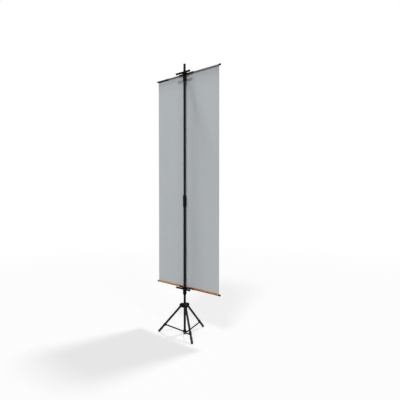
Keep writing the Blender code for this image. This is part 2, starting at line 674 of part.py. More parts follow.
def make_bracket(name, carrier, up, bore_radius, sleeve_depth):
    """Bracket with its rails at Z = 0: a block on the pole, two cradles and a split sleeve below."""
    bracket = rounded(box(name, BLOCK_LENGTH, BLOCK_DEPTH, BLOCK_HEIGHT), BLOCK_EDGE)
    put(bracket, carrier, plastic)
    clip_radius = CRADLE_RADIUS + END_CLIP_WALL
    clip_middle = (BRACKET_LENGTH - END_CLIP_LENGTH) / 2
    for side in (1, -1):
        frame = cradle_side(side, up)
        join(bracket, tool(cradle_bar(), carrier, frame))
        for end in (1, -1):
            half = END_CLIP_LENGTH / 2
            clip = rod("end_clip", clip_radius, half, -half)
            join(bracket, tool(clip, carrier, frame @ shift(z=end * clip_middle)))
    sleeve_radius = bore_radius + SLEEVE_WALL
    sleeve = turned(
        "bracket_sleeve",
        [
            (0.0, 0.0),
            (sleeve_radius, 0.0),
            (sleeve_radius, -sleeve_depth + FINGER_LENGTH / 2),
            (sleeve_radius - FINGER_TAPER, -sleeve_depth),
            (0.0, -sleeve_depth),
        ],
    )
    join(bracket, tool(sleeve, carrier))
    for side in (1, -1):
        cut(bracket, tool(cradle_groove(), carrier, cradle_side(side, up)))
    cut(bracket, finger_slots(carrier, -sleeve_depth, bore_radius, 2 * FINGER_LENGTH))
    return bracket


def make_nut(name, carrier, sleeve_radius, sleeve_depth):
    """Twist nut below a bracket: grip grooves, a tapered foot and a lip that closes on the thin tube."""
    radius = sleeve_radius + SEAT_GAP + NUT_WALL
    inner = sleeve_radius + SEAT_GAP
    foot = BORE_RADIUS + NUT_WALL
    seat = -sleeve_depth - SEAT_GAP
    bottom = seat - NUT_LIP
    profile = [
        (radius - NUT_EDGE, -NUT_TOP_DROP),
        (radius, -NUT_TOP_DROP - NUT_EDGE),
        (radius, bottom + NUT_TAPER),
        (foot, bottom),
        (BORE_RADIUS, bottom),
        (BORE_RADIUS, seat),
        (inner - FINGER_TAPER, seat),
        (inner, seat + FINGER_LENGTH / 2),
        (inner, -NUT_TOP_DROP),
    ]
    nut = turned(name, profile, ring=True)
    put(nut, carrier, plastic)
    grip_bottom = bottom + NUT_TAPER + GRIP_MARGIN / 2
    cut(nut, grip_grooves(carrier, radius, -NUT_TOP_DROP - GRIP_MARGIN, grip_bottom))


def make_mast_lock(mast, nut_carrier):
    """Lock at the mast's upper end: a body with split fingers round the upper tube, and its twist nut."""
    body_bottom = LOCK_BODY_TOP - LOCK_BODY_LENGTH
    neck_radius = MAST_SEAT_RADIUS + SLEEVE_WALL
    finger_top = MAST_TOP + FINGER_LENGTH
    body = turned(
        "mast_lock_body",
        [
            (neck_radius - FINGER_TAPER, finger_top),
            (neck_radius, finger_top - FINGER_LENGTH / 2),
            (neck_radius, LOCK_BODY_TOP - NUT_EDGE),
            (LOCK_BODY_RADIUS - NUT_EDGE, LOCK_BODY_TOP - NUT_EDGE),
            (LOCK_BODY_RADIUS, LOCK_BODY_TOP - 2 * NUT_EDGE),
            (LOCK_BODY_RADIUS, body_bottom + LOCK_TAPER),
            (MAST_SEAT_RADIUS + NUT_EDGE, body_bottom),
            (MAST_SEAT_RADIUS, body_bottom),
            (MAST_SEAT_RADIUS, MAST_TOP + SEAT_GAP),
            (BORE_RADIUS, MAST_TOP + SEAT_GAP),
            (BORE_RADIUS, finger_top),
        ],
        ring=True,
    )
    put(body, mast, plastic)
    cut(body, finger_slots(mast, finger_top, BORE_RADIUS, 2 * (FINGER_LENGTH - 2 * SEAT_GAP)))
    nut_bottom = LOCK_BODY_TOP - NUT_EDGE + SEAT_GAP
    nut_radius = LOCK_BODY_RADIUS + SEAT_GAP
    seat = finger_top + SEAT_GAP
    nut_top = seat + LOCK_NUT_LIP
    inner = neck_radius + SEAT_GAP
    nut = turned(
        "mast_lock_nut",
        [
            (BORE_RADIUS + NUT_EDGE, nut_top),
            (nut_radius, nut_top - NUT_TAPER),
            (nut_radius, nut_bottom + NUT_EDGE),
            (nut_radius - NUT_EDGE, nut_bottom),
            (inner, nut_bottom),
            (inner, seat - FINGER_LENGTH / 2),
            (inner - FINGER_TAPER, seat),
            (BORE_RADIUS, seat),
            (BORE_RADIUS, nut_top),
        ],
        ring=True,
    )
    put(nut, nut_carrier, plastic)
    grip_top = nut_top - NUT_TAPER - GRIP_MARGIN / 2
    cut(nut, grip_grooves(nut_carrier, nut_radius, grip_top, nut_bottom + GRIP_MARGIN))


def make_bottom_bracket(mast, nut_carrier):
    """Bracket at the mast's lower end. Its fingers close on the column, just below the mast."""
    bracket_frame = empty("bottom_bracket_frame", mast, shift(z=BOTTOM_RAIL_HEIGHT))
    bracket = make_bracket("bottom_bracket", bracket_frame, -1, MAST_SEAT_RADIUS, BOTTOM_SLEEVE_DEPTH)
    seat = -MAST_SEAT_DEPTH - SEAT_GAP
    cut(bracket, tool(rod("mast_seat", MAST_SEAT_RADIUS, BLOCK_HEIGHT, seat), bracket_frame))
    through = rod("column_bore", BORE_RADIUS, BLOCK_HEIGHT, -BOTTOM_SLEEVE_DEPTH - CUT_MARGIN)
    cut(bracket, tool(through, bracket_frame))
    make_nut("bottom_bracket_nut", nut_carrier, MAST_SEAT_RADIUS + SLEEVE_WALL, BOTTOM_SLEEVE_DEPTH)


def make_top_bracket(pole, nut_carrier):
    bracket_frame = empty("top_bracket_frame", pole, shift(z=TOP_RAIL_HEIGHT))
    bracket = make_bracket("top_bracket", bracket_frame, 1, BORE_RADIUS, TOP_SLEEVE_DEPTH)
    through = rod("tube_bore", BORE_RADIUS, BLOCK_HEIGHT, -TOP_SLEEVE_DEPTH - CUT_MARGIN)
    cut(bracket, tool(through, bracket_frame))
    make_nut("top_bracket_nut", nut_carrier, BORE_RADIUS + SLEEVE_WALL, TOP_SLEEVE_DEPTH)


def end_ball(name):
    """Ball end of a rail, with a skirt and a socket for the rail's end. Z points off the rail's end."""
    socket = RAIL_RADIUS + SEAT_GAP
    skirt = socket + END_SKIRT_WALL
    join_height = -math.sqrt(END_BALL_RADIUS**2 - skirt**2)
    join_angle = math.atan2(join_height, skirt)
    profile = arc(END_BALL_RADIUS, math.pi / 2, join_angle)
    bottom = join_height - END_SKIRT_LENGTH
    floor = bottom + END_SOCKET_DEPTH
    profile += [(skirt, bottom), (socket, bottom), (socket, floor), (0.0, floor)]
    return turned(name, profile, RAIL_STEPS), floor


def make_rail(where, carrier, height):
    """Rail of the banner with a ball at each end."""
    frame = shift(0.0, RAIL_OFFSET, height) @ ALONG_X
    rail = tube(f"{where}_rail", RAIL_RADIUS, RAIL_WALL, RAIL_HALF_LENGTH, -RAIL_HALF_LENGTH, RAIL_STEPS)
    put(rail, carrier, rail_metal, frame)
    for side, end in (("right", 1), ("left", -1)):
        ball, floor = end_ball(f"{where}_rail_end_{side}")
        turn = Matrix() if end > 0 else Matrix.Rotation(math.pi, 4, "Y")
        put(ball, carrier, plastic, frame @ turn @ shift(z=RAIL_HALF_LENGTH + SEAT_GAP - floor))


def pocket(radius, neck, up):
    """Loop of cloth round a rail: round on the far side, drawn to the neck on the panel's side."""
    lean = math.acos(radius / neck)
    start = -math.pi / 2 + lean
    points = arc(radius, start, 3 * math.pi / 2 - lean, RAIL_STEPS)
    return [(x, up * y) for x, y in points]


def make_banner(carrier):
    """Flat cloth with a pocket round each rail, as one outline across the banner, drawn taut."""
    half_cloth = FABRIC_THICKNESS / 2
    top_neck = RAIL_SPACING - POCKET_NECK
    inner_radius = POCKET_RADIUS - FABRIC_THICKNESS
    inner_neck = POCKET_NECK * inner_radius / POCKET_RADIUS
    edge = [(half_cloth, POCKET_NECK), (half_cloth, top_neck)]
    edge += [(x, RAIL_SPACING + y) for x, y in pocket(POCKET_RADIUS, POCKET_NECK, 1)]
    edge += [(-half_cloth, top_neck), (-half_cloth, POCKET_NECK)]
    edge += reversed(pocket(POCKET_RADIUS, POCKET_NECK, -1))
    top_hole = [(0.0, RAIL_SPACING - inner_neck)]
    top_hole += [(x, RAIL_SPACING + y) for x, y in pocket(inner_radius, inner_neck, 1)]
    bottom_hole = [(0.0, inner_neck)] + pocket(inner_radius, inner_neck, -1)
    banner = outline("banner", [edge, top_hole, bottom_hole], BANNER_WIDTH)
    across = Matrix(((0.0, 0.0, 1.0), (1.0, 0.0, 0.0), (0.0, 1.0, 0.0))).to_4x4()
    put(banner, carrier, cloth, shift(0.0, RAIL_OFFSET, BOTTOM_RAIL_HEIGHT) @ across)


def make_pole(mast, upper):
    put(tube("mast_tube", MAST_RADIUS, POLE_WALL, MAST_TOP, MAST_BOTTOM), mast, tube_paint)
    upper_tube = tube("upper_tube", THIN_TUBE_RADIUS, POLE_WALL, UPPER_TUBE_TOP, UPPER_TUBE_BOTTOM)
    put(upper_tube, upper, tube_paint)
    cap = plug("pole_cap", PLUG_RADIUS, THIN_TUBE_RADIUS + POLE_CAP_OVERHANG, PLUG_FLANGE, PLUG_DEPTH)
    put(cap, upper, plastic, shift(z=UPPER_TUBE_TOP + SEAT_GAP))
    guide = plug("upper_tube_guide", PLUG_RADIUS, THIN_TUBE_RADIUS, PLUG_FLANGE, PLUG_DEPTH)
    put(guide, upper, plastic, shift(z=UPPER_TUBE_BOTTOM - SEAT_GAP) @ Matrix.Rotation(math.pi, 4, "X"))


def shade_pieces():
    """Takes each piece's modifiers into its mesh and shades it smooth between its sharp edges."""
    graph = bpy.context.evaluated_depsgraph_get()
    pieces = [obj for obj in stand.objects if obj.type == "MESH"]
    meshes = [bpy.data.meshes.new_from_object(piece.evaluated_get(graph)) for piece in pieces]
    for piece, mesh in zip(pieces, meshes):
        piece.modifiers.clear()
        piece.data = mesh
        mesh.shade_smooth()
        mesh.set_sharp_from_angle(angle=SMOOTH_ANGLE)


def build():
    column = empty("column", None, Matrix())
    carriage = empty("hub_slide", column, Matrix())
    mast = empty("mast_slide", column, Matrix())
    upper = empty("telescope", mast, Matrix())
    screw_frame = leg_frame(HUB_SCREW_AZIMUTH) @ shift(z=HUB_PIVOT_HEIGHT + HUB_SCREW_RISE) @ ALONG_X
    make_column(column)
    make_spider(column)
    make_hub(carriage)
    make_hub_screw(empty("hub_screw_turn", carriage, screw_frame))
    make_tripod(column, carriage)
    make_pole(mast, upper)
    make_mast_lock(mast, empty("mast_lock_twist", mast, Matrix()))
    make_bottom_bracket(mast, empty("bottom_nut_twist", mast, shift(z=BOTTOM_RAIL_HEIGHT)))
    make_top_bracket(upper, empty("top_nut_twist", upper, shift(z=TOP_RAIL_HEIGHT)))
    make_rail("bottom", mast, BOTTOM_RAIL_HEIGHT)
    make_rail("top", upper, TOP_RAIL_HEIGHT)
    make_banner(mast)
    shade_pieces()


clear_scene()
stand = new_collection("tripod_banner_stand")
cutters = new_collection("cutters")
tube_paint = new_material("black_tube_paint", (0.011, 0.013, 0.013), 0.38, 0.2)
plastic = new_material("black_plastic", (0.014, 0.014, 0.015), 0.45)
rubber = new_material("black_rubber", (0.017, 0.017, 0.017), 0.85)
rivet_steel = new_material("dark_rivet_steel", (0.055, 0.055, 0.06), 0.4, 0.8)
rail_metal = new_material("rail_aluminium", (0.45, 0.45, 0.46), 0.35, 1.0)
cloth = new_material("banner_cloth", (0.44, 0.47, 0.49), 0.8)
build()
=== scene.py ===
"""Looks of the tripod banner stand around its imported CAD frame: satin black tubes and mouldings, and a
taut cloth banner with a sewn pocket round each rail. Metres, in the frame's own axes.
"""

import math

import bpy
from mathutils import Matrix, Vector


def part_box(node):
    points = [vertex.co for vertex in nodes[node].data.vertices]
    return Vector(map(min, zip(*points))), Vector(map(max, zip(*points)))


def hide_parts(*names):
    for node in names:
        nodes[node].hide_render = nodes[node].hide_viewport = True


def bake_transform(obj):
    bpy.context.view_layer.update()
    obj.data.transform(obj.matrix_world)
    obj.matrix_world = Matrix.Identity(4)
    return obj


def rgb(*values):
    """A linear colour, opaque."""
    return (*values, 1.0)


# Camera. Its tilt and heading are in radians.
CAMERA_PLACE = (2.6066, -2.5600, 1.3559)
CAMERA_TILT = -0.024
CAMERA_HEADING = 0.755
LENS_MM = 35.0
SENSOR_MM = 36.0

# Lamps. Their angles are in degrees, and level 1 shows a facing colour as it is written.
KEY_LIGHT = {"azimuth": 26.0, "elevation": 49.0, "level": 0.71, "blur": 12.0}
BACK_LIGHT = {"azimuth": 171.0, "elevation": 62.6, "level": 1.0, "blur": 9.0}
SIDE_LIGHT = {"azimuth": 70.0, "elevation": 45.0, "level": 0.16, "blur": 14.0}
FAR_LIGHT_DISTANCE = 5.0
LOW_STRIP = {"place": (-9.6, -1.80, 30.3), "length": 1.60, "level": 1.2}
HIGH_STRIP = {"place": (-9.6, -3.60, 30.3), "length": 2.00, "level": 0.5}
STRIP_AIM = (0.0, 0.0, 1.5)
STRIP_WIDTH = 0.9
SKY_LEVEL = 0.22

# Floor, and the white that it fades into
WHITE = rgb(1.0, 1.0, 1.0)
FLOOR_RADIUS = 30.0
FLOOR_SIDES = 96
FLOOR_DROP = 0.0002
FLOOR_COLOUR = rgb(0.21, 0.21, 0.21)
FLOOR_BOUNCE = rgb(0.24, 0.24, 0.24)
FLOOR_GLOW = 0.606
FLOOR_FADE = (3.2, 7.0)

# Cloth and its two pockets. The neck, the seam's end and the stitches are measured from the rail's middle,
# and the sewn flap lies that many thicknesses behind the panel.
CLOTH_THICKNESS = 0.0005
CLOTH_SLACK = 0.0003
POCKET_NECK = 0.0095
SEAM_END = 0.0135
FLAP_LAYERS = 1.15
PANEL_ROWS = 90
PANEL_COLUMNS = 64
POCKET_STEPS = 22
FLAT_PLACE = "cloth_place"

# Hems down the cloth's two sides
HEM_WIDTH = 0.009
HEM_FOLD = 0.0004
HEM_LIP = 0.0002
HEM_END_GAP = 0.0005

# Waves of the taut panel: share of the depth, radians a metre across and up, and radians at the start
RIPPLE_DEPTH = 0.0004
RIPPLE_WAVES = ((1.0, 23.0, 0.9, 0.0), (0.6, 41.0, -1.7, 0.8))
EDGE_SHARE = 0.15
EDGE_CALM = 0.8
EDGE_CURL = 0.0012

# Stitches
STITCH_LENGTH = 0.0024
STITCH_PITCH = 0.0034
STITCH_WIDTH = 0.0005
STITCH_HEIGHT = 0.0003
STITCH_SHOULDER = 0.22
STITCH_SIDES = 4
SEAM_STITCH = 0.0114
SEAM_STITCH_INSET = 0.004
HEM_STITCH_INSET = 0.0065
HEM_STITCH_GAP = 0.003

# Mesh finish of the CAD nodes
WELD_DISTANCE = 1e-5
SHARP_ANGLE = math.radians(32)
ROUNDER_NODES = ("bottom_rail_end", "top_rail_end", "hub_rivet", "spider_rivet", "brace_rivet", "leg_foot")
ROUNDER_LEVELS = 1

# In the finishes below, a pattern is noise with its cells a metre and its stretch along X, Y and Z. A span
# is the range of values that counts, and what it turns into where that isn't 0 to 1.
NOISE_MIDDLE = (0.3, 0.7)
NOISE_WIDE = (0.2, 0.8)
FALLING = (1.0, 0.0)
EDGE_SAMPLES = 4
EDGE_SPAN = (0.03, 0.25)

# Powder coat of the tubes and braces
PAINT = rgb(0.0030, 0.0040, 0.0040)
PAINT_CLOUD = rgb(0.0042, 0.0053, 0.0053)
PAINT_WORN = rgb(0.013, 0.014, 0.014)
PAINT_RIM = rgb(0.040, 0.040, 0.042)
PAINT_PEEL = {"scale": 1500.0}
PAINT_CLOUDS = {"scale": 38.0, "detail": 3.0}
PAINT_SCUFFS = {"scale": 160.0, "detail": 5.0, "roughness": 0.65, "stretch": (1.0, 1.0, 0.05)}
PAINT_STREAKS = {"scale": 900.0, "detail": 3.0, "roughness": 0.6, "stretch": (1.0, 1.0, 0.006)}
PAINT_CHIPS = {"scale": 420.0, "detail": 3.0}
PAINT_SCUFF_SPAN = (0.58, 0.76, 0.0, 0.25)
PAINT_STREAK_SPAN = (0.55, 0.68, 0.0, 0.4)
PAINT_CHIP_SPAN = (0.42, 0.62)
PAINT_ROUGHNESS = (*NOISE_MIDDLE, 0.38, 0.47)
PAINT_POLISH = 0.12
PAINT_EDGE = 0.0006
PAINT_RELIEF = 0.00004
PAINT_SPECULAR = 0.10

# Stretches of Z where a sliding part has rubbed the paint, and how far they fade in and out
COLUMN_RUB = (0.045, 0.400)
UPPER_TUBE_RUB = (1.300, 1.900)
RUB_FADE_IN = 0.03
RUB_FADE_OUT = 0.12

# Moulded plastic of the hub, the brackets and the other black fittings, and a glossier one of the ball ends
PLASTIC = rgb(0.0033, 0.0033, 0.0036)
PLASTIC_CLOUD = rgb(0.005775, 0.005775, 0.0063)
PLASTIC_DUST = rgb(0.016, 0.0155, 0.015)
PLASTIC_RIM = rgb(0.024, 0.024, 0.025)
PLASTIC_GRAIN = 1900.0
PLASTIC_MOTTLE = {"scale": 520.0, "detail": 3.0}
PLASTIC_FLOW = {"scale": 24.0, "stretch": (1.0, 1.0, 0.4)}
PLASTIC_DUST_CLOUDS = {"scale": 130.0, "detail": 4.0}
PLASTIC_RUBS = {"scale": 310.0, "detail": 3.0}
PLASTIC_UPWARD_SPAN = (0.55, 1.0)
PLASTIC_DUST_SPAN = (0.35, 0.75, 0.1, 0.5)
PLASTIC_RUB_SPAN = (0.38, 0.66)
PLASTIC_MOTTLE_SHARE = 0.6
PLASTIC_DUST_ROUGHNESS = 0.4
PLASTIC_EDGE = 0.0005
PLASTIC_SPECULAR = 0.05
MATT_MOULDING = {"roughness_span": (*NOISE_MIDDLE, 0.41, 0.53), "relief": 0.00005}
GLOSSY_MOULDING = {"roughness_span": (*NOISE_MIDDLE, 0.31, 0.43), "relief": 0.00003}

# Rubber of the feet
RUBBER = rgb(0.0085, 0.0085, 0.0085)
RUBBER_DUST = rgb(0.052, 0.050, 0.047)
RUBBER_SMEAR = rgb(0.019, 0.019, 0.019)
RUBBER_PORES = 2400.0
RUBBER_SMEARS = {"scale": 210.0, "detail": 4.0, "roughness": 0.6}
RUBBER_LOW_SPAN = (0.002, 0.020, *FALLING)
RUBBER_DUST_SPAN = (0.35, 0.7)
RUBBER_SMEAR_SPAN = (0.55, 0.8, 0.0, 0.5)
RUBBER_ROUGHNESS = (*NOISE_WIDE, 0.72, 0.92)
RUBBER_RELIEF = 0.00005
RUBBER_SPECULAR = 0.3

# Blackened steel of the rivets
STEEL = rgb(0.045, 0.045, 0.048)
STEEL_SPOT = rgb(0.095, 0.093, 0.090)
STEEL_RIM = rgb(0.34, 0.34, 0.35)
STEEL_SPOTS = {"scale": 700.0, "detail": 4.0, "roughness": 0.6}
STEEL_SPOT_SPAN = (0.3, 0.75)
STEEL_RIM_SPAN = (0.35, 0.6)
STEEL_ROUGHNESS = (*NOISE_MIDDLE, 0.34, 0.52)
STEEL_EDGE = 0.0007
STEEL_RELIEF = 0.00003

# Drawn aluminium of the rails
ALUMINIUM = rgb(0.50, 0.51, 0.52)
ALUMINIUM_CLOUD = rgb(0.62, 0.62, 0.63)
ALUMINIUM_LINES = {"scale": 2600.0, "detail": 3.0, "roughness": 0.6, "stretch": (0.01, 1.0, 1.0)}
ALUMINIUM_CLOUDS = {"scale": 60.0}
ALUMINIUM_ROUGHNESS = (*NOISE_MIDDLE, 0.24, 0.40)
ALUMINIUM_RELIEF = 0.00003

# Weave of the cloth
THREAD_WIDTHS = {"X": 0.00042, "Y": 0.00046}
CLOTH_SLUBS = {"scale": 900.0, "detail": 3.0, "stretch": (0.03, 1.0, 1.0)}
CLOTH_CLOUDS = {"scale": 7.0, "detail": 3.0}
CROSSING_SHARE = 0.5
SLUB_SHARE = 0.9
GRAIN_REACH = (-0.2, 1.1)

# Grey back of the cloth, and the painted shade down its side edges
BACK = rgb(0.457, 0.485, 0.500)
BACK_CLOUD = rgb(0.463, 0.491, 0.506)
BACK_GAPS = rgb(0.36, 0.385, 0.40)
# Painted shade down both side edges of the back, and how far it darkens them
BACK_EDGE_SHADE = rgb(0.26, 0.28, 0.29)
BACK_GRAIN_SPAN = (*GRAIN_REACH, 0.0, 0.22)
BACK_EDGE_SHADE_SHARE = 0.16
BACK_ROUGHNESS = (*NOISE_MIDDLE, 0.78, 0.9)
BACK_RELIEF = 0.00005
BACK_SPECULAR = 0.25
BACK_SHEEN = 0.12

# Front of the cloth, with its two end bands and the dark block at one end of the high one
FRONT = rgb(0.600, 0.610, 0.615)
FRONT_CLOUD = rgb(0.612, 0.621, 0.626)
OCHRE = rgb(0.225, 0.142, 0.024)
ORANGE = rgb(0.235, 0.084, 0.015)
DEEP_ORANGE = rgb(0.240, 0.082, 0.019)
BAND_GREY = rgb(0.230, 0.234, 0.234)
BAND_GREY_PALE = rgb(0.270, 0.274, 0.274)
DARK_BLOCK = rgb(0.020, 0.006, 0.021)
LOW_BAND = 0.15
HIGH_BAND = 0.09
DARK_BLOCK_WIDTH = 0.154
ORANGE_PLACE = 0.05
BAND_EDGE = 0.0005
BLOCK_EDGE = 0.001
FRONT_GRAIN_SPAN = (*GRAIN_REACH, 1.0, 0.80)
FRONT_ROUGHNESS = (*NOISE_MIDDLE, 0.66, 0.8)
FRONT_RELIEF = 0.00004
FRONT_SPECULAR = 0.2
FRONT_SHEEN = 0.04

# Sewing thread
THREAD = rgb(0.33, 0.34, 0.35)
THREAD_PALE = rgb(0.47, 0.48, 0.49)
THREAD_TWIST = {"scale": 5200.0, "stretch": (1.0, 1.0, 1.0), "turn": (0.0, 0.6, 0.0)}
THREAD_ROUGHNESS = (*NOISE_MIDDLE, 0.5, 0.7)
THREAD_RELIEF = 0.00005
THREAD_SHEEN = 0.2

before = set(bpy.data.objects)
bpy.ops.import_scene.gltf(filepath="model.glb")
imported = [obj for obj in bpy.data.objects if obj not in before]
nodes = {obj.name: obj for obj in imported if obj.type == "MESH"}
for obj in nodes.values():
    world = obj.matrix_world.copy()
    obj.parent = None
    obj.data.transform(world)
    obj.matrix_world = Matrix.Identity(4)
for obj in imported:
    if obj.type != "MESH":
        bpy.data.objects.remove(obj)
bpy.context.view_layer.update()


class Graph:
    """Short forms for building a tree of nodes. The numbers are a Mix node's sockets for colours."""

    MIX_A = 6
    MIX_B = 7
    MIX_RESULT = 2

    def __init__(self, tree):
        self.tree = tree

    def feed(self, socket, value):
        """Links a socket to another, or sets it to a plain value."""
        if isinstance(value, bpy.types.NodeSocket):
            self.tree.links.new(value, socket)
        else:
            socket.default_value = value

    def node(self, kind, inputs=(), **settings):
        """A new node with its settings, and its inputs given by name or number."""
        made = self.tree.nodes.new(kind)
        for key, value in settings.items():
            setattr(made, key, value)
        for key, value in dict(inputs).items():
            self.feed(made.inputs[key], value)
        return made

    def coordinates(self):
        """The object's own coordinates in metres."""
        return self.node("ShaderNodeTexCoord").outputs["Object"]

    def noise(self, scale, detail=2.0, roughness=0.5, stretch=None, turn=(0.0, 0.0, 0.0), at=None):
        """Noise at the given coordinates or the object's own, which may be stretched and then turned."""
        place = at or self.coordinates()
        if stretch is not None:
            mapping = {"Vector": place, "Scale": stretch, "Rotation": turn}
            place = self.node("ShaderNodeMapping", mapping).outputs["Vector"]
        inputs = {"Vector": place, "Scale": scale, "Detail": detail, "Roughness": roughness}
        return self.node("ShaderNodeTexNoise", inputs).outputs["Fac"]

    def cells(self, scale):
        """Rounded cells, dark in their middles."""
        inputs = {"Vector": self.coordinates(), "Scale": scale}
        return self.node("ShaderNodeTexVoronoi", inputs).outputs["Distance"]

    def math(self, operation, a, b=0.0, clamp=False):
        """The operation's result, kept from 0 to 1 where clamp is true."""
        return self.node("ShaderNodeMath", {0: a, 1: b}, operation=operation, use_clamp=clamp).outputs[0]

    def span(self, value, low, high, to_low=0.0, to_high=1.0):
        """The value's range from low to high, smoothly turned into another range."""
        inputs = {"Value": value, "From Min": low, "From Max": high, "To Min": to_low, "To Max": to_high}
        made = self.node("ShaderNodeMapRange", inputs, interpolation_type="SMOOTHSTEP")
        return made.outputs["Result"]

    def mix(self, factor, a, b):
        """Colour a at factor 0, and colour b at factor 1."""
        inputs = {"Factor": factor, self.MIX_A: a, self.MIX_B: b}
        return self.node("ShaderNodeMix", inputs, data_type="RGBA").outputs[self.MIX_RESULT]

    def along(self, axis, vector=None):
        """One coordinate of a vector, or of the object's own place."""
        source = vector or self.coordinates()
        return self.node("ShaderNodeSeparateXYZ", {"Vector": source}).outputs[axis]

    def edges(self, radius):
        """Nearly 0 on flat faces, rising on edges and corners of about that radius."""
        softened = self.node("ShaderNodeBevel", {"Radius": radius}, samples=EDGE_SAMPLES).outputs["Normal"]
        face = self.node("ShaderNodeNewGeometry").outputs["Normal"]
        aligned = self.node("ShaderNodeVectorMath", {0: softened, 1: face}, operation="DOT_PRODUCT")
        return self.span(self.math("SUBTRACT", 1.0, aligned.outputs["Value"]), *EDGE_SPAN)

    def bump(self, height, depth):
        """The surface's direction where height 1 stands out by that depth."""
        return self.node("ShaderNodeBump", {"Height": height, "Distance": depth}).outputs["Normal"]

    def seen(self):
        """1 for rays from the camera, a mirror or glass, and 0 for those of light that only spreads."""
        rays = self.node("ShaderNodeLightPath").outputs
        reflected = self.math("MAXIMUM", rays["Is Glossy Ray"], rays["Is Transmission Ray"])
        return self.math("MAXIMUM", rays["Is Camera Ray"], reflected)


class Finish(Graph):
    """The tree of nodes of a new material."""

    def __init__(self, name):
        self.material = bpy.data.materials.new(name)
        self.material.use_nodes = True
        super().__init__(self.material.node_tree)

    def finish(self, colour, roughness, normal, specular=0.5, sheen=0.0, metallic=0.0):
        """Gives the material's shader its values, and returns the material."""
        inputs = {"Base Color": colour, "Roughness": roughness, "Normal": normal}
        inputs |= {"Specular IOR Level": specular, "Sheen Weight": sheen, "Metallic": metallic}
        shader = self.tree.nodes["Principled BSDF"]
        for key, value in inputs.items():
            self.feed(shader.inputs[key], value)
        return self.material


def tube_paint(name, rubbed=None):
    """Satin black powder coat with a faint orange peel, worn at its edges and along a rubbed stretch of Z."""
    g = Finish(name)
    clouds = g.noise(**PAINT_CLOUDS)
    colour = g.mix(clouds, PAINT, PAINT_CLOUD)
    worn = g.span(g.noise(**PAINT_SCUFFS), *PAINT_SCUFF_SPAN)
    if rubbed is not None:
        low, high = rubbed
        height = g.along("Z")
        start = g.span(height, low, low + RUB_FADE_IN)
        end = g.span(height, high - RUB_FADE_OUT, high, *FALLING)
        lines = g.span(g.noise(**PAINT_STREAKS), *PAINT_STREAK_SPAN)
        streaks = g.math("MULTIPLY", lines, g.math("MULTIPLY", start, end))
        worn = g.math("ADD", worn, streaks, clamp=True)
    colour = g.mix(worn, colour, PAINT_WORN)
    chips = g.span(g.noise(**PAINT_CHIPS), *PAINT_CHIP_SPAN)
    rim = g.math("MULTIPLY", g.edges(PAINT_EDGE), chips, clamp=True)
    colour = g.mix(rim, colour, PAINT_RIM)
    polish = g.math("MULTIPLY", worn, PAINT_POLISH)
    roughness = g.math("SUBTRACT", g.span(clouds, *PAINT_ROUGHNESS), polish)
    normal = g.bump(g.noise(**PAINT_PEEL), PAINT_RELIEF)
    return g.finish(colour, roughness, normal, specular=PAINT_SPECULAR)


def moulded(name, roughness_span, relief):
    """Black moulded plastic: fine spark-eroded grain, clouds of flow, pale rubbed edges and dust on top."""
    g = Finish(name)
    mottle = g.noise(**PLASTIC_MOTTLE)
    colour = g.mix(g.noise(**PLASTIC_FLOW), PLASTIC, PLASTIC_CLOUD)
    upward = g.along("Z", g.node("ShaderNodeTexCoord").outputs["Normal"])
    dust = g.span(g.noise(**PLASTIC_DUST_CLOUDS), *PLASTIC_DUST_SPAN)
    settled = g.math("MULTIPLY", g.span(upward, *PLASTIC_UPWARD_SPAN), dust)
    colour = g.mix(settled, colour, PLASTIC_DUST)
    rubs = g.span(g.noise(**PLASTIC_RUBS), *PLASTIC_RUB_SPAN)
    rim = g.math("MULTIPLY", g.edges(PLASTIC_EDGE), rubs, clamp=True)
    colour = g.mix(rim, colour, PLASTIC_RIM)
    height = g.math("ADD", g.cells(PLASTIC_GRAIN), g.math("MULTIPLY", mottle, PLASTIC_MOTTLE_SHARE))
    dulled = g.math("MULTIPLY", settled, PLASTIC_DUST_ROUGHNESS)
    roughness = g.math("ADD", g.span(mottle, *roughness_span), dulled)
    return g.finish(colour, roughness, g.bump(height, relief), specular=PLASTIC_SPECULAR)


def foot_rubber():
    """Matt rubber, greyed by the floor near its sole."""
    g = Finish("foot_rubber")
    smears = g.noise(**RUBBER_SMEARS)
    low = g.span(g.along("Z"), *RUBBER_LOW_SPAN)
    dusty = g.math("MULTIPLY", low, g.span(smears, *RUBBER_DUST_SPAN), clamp=True)
    colour = g.mix(dusty, RUBBER, RUBBER_DUST)
    colour = g.mix(g.span(smears, *RUBBER_SMEAR_SPAN), colour, RUBBER_SMEAR)
    roughness = g.span(smears, *RUBBER_ROUGHNESS)
    normal = g.bump(g.cells(RUBBER_PORES), RUBBER_RELIEF)
    return g.finish(colour, roughness, normal, specular=RUBBER_SPECULAR)


def rivet_steel():
    """Blackened steel with rings of bright metal where it was set."""
    g = Finish("blackened_rivet_steel")
    spots = g.noise(**STEEL_SPOTS)
    bright = g.math("MULTIPLY", g.edges(STEEL_EDGE), g.span(spots, *STEEL_RIM_SPAN), clamp=True)
    colour = g.mix(g.span(spots, *STEEL_SPOT_SPAN), STEEL, STEEL_SPOT)
    colour = g.mix(bright, colour, STEEL_RIM)
    roughness = g.span(spots, *STEEL_ROUGHNESS)
    return g.finish(colour, roughness, g.bump(spots, STEEL_RELIEF), metallic=1.0)


def rail_metal():
    """Drawn aluminium with fine lines along the rail."""
    g = Finish("drawn_aluminium")
    lines = g.noise(**ALUMINIUM_LINES)
    colour = g.mix(g.noise(**ALUMINIUM_CLOUDS), ALUMINIUM, ALUMINIUM_CLOUD)
    roughness = g.span(lines, *ALUMINIUM_ROUGHNESS)
    return g.finish(colour, roughness, g.bump(lines, ALUMINIUM_RELIEF), metallic=1.0)


